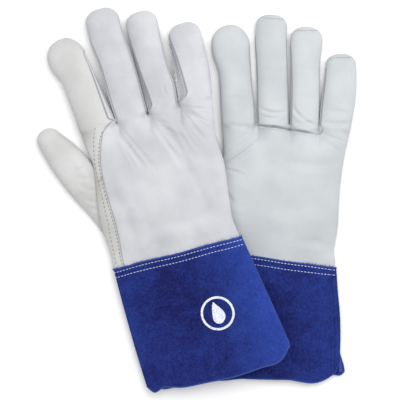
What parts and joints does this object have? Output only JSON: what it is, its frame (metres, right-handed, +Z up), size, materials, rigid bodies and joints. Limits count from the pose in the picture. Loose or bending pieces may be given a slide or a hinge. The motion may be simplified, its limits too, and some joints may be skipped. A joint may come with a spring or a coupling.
{
  "type": "pair of welding gloves",
  "caption": "Leather gauntlet work gloves with suede cuffs, lying flat and crossed, one back up and one palm up, with folding fingers.",
  "frame": {"origin": "middle of the pair's outline on the surface it lies on", "axes": "+Z up from the surface, +Y towards the fingertips, +X towards the little-finger side of the upper, right glove"},
  "size_m": [0.2848, 0.3376, 0.0383],
  "materials": {
    "grain_leather": "soft white grain leather, matt",
    "suede_cuff": "royal blue split suede with raw edges",
    "white_thread": "white sewing thread",
    "aramid_thread": "pale yellow flame-resistant thread",
    "cuff_print": "white rubbery screen print"
  },
  "bodies": {
    "left_hand": {"left_back_panel": "grain_leather", "left_cuff_back": "suede_cuff", "left_cuff_palm": "suede_cuff", "left_cuff_stitching": "white_thread", "left_palm_panel": "grain_leather", "left_thumb_inner": "grain_leather", "left_thumb_outer": "grain_leather"},
    "left_index": {"left_index_fourchette_little_side": "grain_leather", "left_index_wrap": "grain_leather"},
    "left_middle": {"left_middle_back": "grain_leather", "left_middle_fourchette_little_side": "grain_leather", "left_middle_fourchette_thumb_side": "grain_leather", "left_middle_front": "grain_leather", "left_middle_tip_stitching": "white_thread"},
    "left_ring": {"left_ring_back": "grain_leather", "left_ring_fourchette_little_side": "grain_leather", "left_ring_fourchette_thumb_side": "grain_leather", "left_ring_front": "grain_leather", "left_ring_tip_stitching": "white_thread"},
    "left_little": {"left_little_back": "grain_leather", "left_little_fourchette_thumb_side": "grain_leather", "left_little_front": "grain_leather", "left_little_tip_stitching": "white_thread"},
    "right_hand": {"right_back_panel": "grain_leather", "right_back_seam_stitching": "aramid_thread", "right_cuff_back": "suede_cuff", "right_cuff_emblem_flame": "cuff_print", "right_cuff_emblem_ring": "cuff_print", "right_cuff_palm": "suede_cuff", "right_cuff_stitching": "white_thread", "right_palm_panel": "grain_leather"},
    "right_index": {"right_index_fourchette_little_side": "grain_leather", "right_index_wrap": "grain_leather"},
    "right_middle": {"right_middle_back": "grain_leather", "right_middle_fourchette_little_side": "grain_leather", "right_middle_fourchette_thumb_side": "grain_leather", "right_middle_front": "grain_leather"},
    "right_ring": {"right_ring_back": "grain_leather", "right_ring_fourchette_little_side": "grain_leather", "right_ring_fourchette_thumb_side": "grain_leather", "right_ring_front": "grain_leather"},
    "right_little": {"right_little_back": "grain_leather", "right_little_fourchette_thumb_side": "grain_leather", "right_little_front": "grain_leather"},
    "right_thumb": {"right_thumb_inner": "grain_leather", "right_thumb_outer": "grain_leather"}
  },
  "joints": [
    {"name": "left_index_fold", "type": "hinge", "parent": "left_hand", "child": "left_index", "pos_m": [0.03512, 0.07083, 0.014], "axis": [0.9936, 0.1132, 0], "range_deg": [0, 80]},
    {"name": "left_middle_fold", "type": "hinge", "parent": "left_hand", "child": "left_middle", "pos_m": [0.06578, 0.06922, 0.014], "axis": [0.9998, 0.0209, 0], "range_deg": [0, 80]},
    {"name": "left_ring_fold", "type": "hinge", "parent": "left_hand", "child": "left_ring", "pos_m": [0.09419, 0.06773, 0.014], "axis": [0.9996, -0.0279, 0], "range_deg": [0, 80]},
    {"name": "left_little_fold", "type": "hinge", "parent": "left_hand", "child": "left_little", "pos_m": [0.12235, 0.06626, 0.014], "axis": [0.9942, -0.108, 0], "range_deg": [0, 80]},
    {"name": "right_index_fold", "type": "hinge", "parent": "right_hand", "child": "right_index", "pos_m": [-0.08994, 0.06722, 0.02023], "axis": [0.8981, 0.408, 0.1642], "range_deg": [0, 60]},
    {"name": "right_middle_fold", "type": "hinge", "parent": "right_hand", "child": "right_middle", "pos_m": [-0.05924, 0.07533, 0.02559], "axis": [0.9321, 0.322, 0.166], "range_deg": [0, 60]},
    {"name": "right_ring_fold", "type": "hinge", "parent": "right_hand", "child": "right_ring", "pos_m": [-0.03069, 0.08288, 0.03058], "axis": [0.9468, 0.2754, 0.1664], "range_deg": [0, 60]},
    {"name": "right_little_fold", "type": "hinge", "parent": "right_hand", "child": "right_little", "pos_m": [-0.00237, 0.09036, 0.03552], "axis": [0.9661, 0.1975, 0.1662], "range_deg": [0, 60]},
    {"name": "right_thumb_fold", "type": "hinge", "parent": "right_hand", "child": "right_thumb", "pos_m": [-0.10103, 0.02082, 0.014], "axis": [0.7157, 0.6984, 0], "range_deg": [0, 60]},
    {"name": "right_glove_lift", "type": "slide", "parent": "left_hand", "child": "right_hand", "axis": [0, 0, 1], "range_m": [0, 0.15]}
  ]
}
